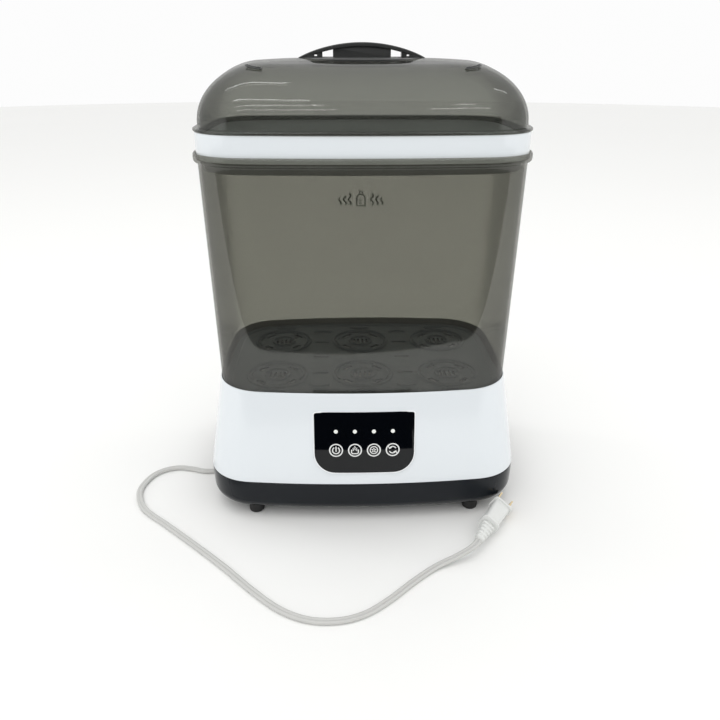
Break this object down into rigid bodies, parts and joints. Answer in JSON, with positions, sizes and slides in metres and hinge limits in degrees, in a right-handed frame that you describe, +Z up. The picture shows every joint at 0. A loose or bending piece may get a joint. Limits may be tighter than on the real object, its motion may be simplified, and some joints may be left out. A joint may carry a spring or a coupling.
{
  "type": "bottle sterilizer",
  "caption": "Countertop steam sterilizer and dryer for baby bottles: white and black base with touch panel, clear chamber, domed lid with handle, trays and mains lead.",
  "frame": {"origin": "middle of the base's footprint, on the table under the feet", "axes": "+Z up, -Y the front with the control panel, +X the right as seen from the front"},
  "size_m": [0.3789, 0.4308, 0.4156],
  "materials": {
    "white_shell": "glossy",
    "black_shell": "glossy",
    "foot_rubber": "matte",
    "screw_steel": "plain",
    "panel_black": "glossy",
    "panel_bead": "glossy",
    "lamp_lens": "glossy",
    "board_green": "satin",
    "board_tan": "satin",
    "dish_steel": "satin",
    "seal_rubber": "matte",
    "element_metal": "dull",
    "ceramic_cream": "satin",
    "dark_plastic": "matte",
    "motor_steel": "plain",
    "wheel_plastic": "satin",
    "duct_plastic": "satin",
    "charcoal_plastic": "satin",
    "filter_paper": "matte",
    "white_cord": "satin",
    "blade_brass": "plain",
    "smoke_clear": "clear glossy",
    "handle_charcoal": "satin"
  },
  "bodies": {
    "base": {"base_shell": "white_shell", "base_pan": "black_shell", "feet": "foot_rubber", "base_screws": "screw_steel", "control_panel": "panel_black", "panel_trim": "panel_bead", "led_lenses": "lamp_lens", "control_board": "board_green", "touch_springs": "screw_steel", "power_board": "board_tan", "heating_plate": "dish_steel", "plate_seal": "seal_rubber", "heating_element": "element_metal", "thermostat": "ceramic_cream", "thermal_fuse": "ceramic_cream", "blower_housing": "dark_plastic", "blower_cover": "dark_plastic", "blower_screws": "screw_steel", "fan_motor": "motor_steel", "air_heater": "ceramic_cream", "air_duct": "duct_plastic", "outlet_grille": "charcoal_plastic", "cord_clamp": "dark_plastic", "cord_relief": "white_cord", "power_cord": "white_cord", "plug_body": "white_cord", "plug_blades": "blade_brass"},
    "blower_wheel": {"fan_wheel": "wheel_plastic"},
    "filter_drawer": {"filter_cover": "white_shell", "air_filter": "filter_paper"},
    "bottle_tray": {"bottle_tray": "charcoal_plastic"},
    "chamber": {"chamber": "smoke_clear"},
    "upper_ring": {"upper_ring": "white_shell"},
    "accessory_tray": {"accessory_tray": "charcoal_plastic"},
    "lid": {"lid": "smoke_clear", "lid_handle": "handle_charcoal", "handle_screws": "screw_steel"}
  },
  "joints": [
    {"name": "blower_spin", "type": "hinge", "parent": "base", "child": "blower_wheel", "pos_m": [0.078, 0.018, 0.034], "axis": [0, 0, 1], "continuous": true},
    {"name": "filter_pull", "type": "slide", "parent": "base", "child": "filter_drawer", "axis": [0, 1, 0], "range_m": [0, 0.035]},
    {"name": "bottle_tray_lift", "type": "slide", "parent": "base", "child": "bottle_tray", "axis": [0, 0, 1], "range_m": [0, 0.15]},
    {"name": "chamber_lift", "type": "slide", "parent": "base", "child": "chamber", "axis": [0, 0, 1], "range_m": [0, 0.22]},
    {"name": "ring_lift", "type": "slide", "parent": "chamber", "child": "upper_ring", "axis": [0, 0, 1], "range_m": [0, 0.06]},
    {"name": "tray_lift", "type": "slide", "parent": "upper_ring", "child": "accessory_tray", "axis": [0, 0, 1], "range_m": [0, 0.06]},
    {"name": "lid_lift", "type": "slide", "parent": "accessory_tray", "child": "lid", "axis": [0, 0, 1], "range_m": [0, 0.1]}
  ]
}
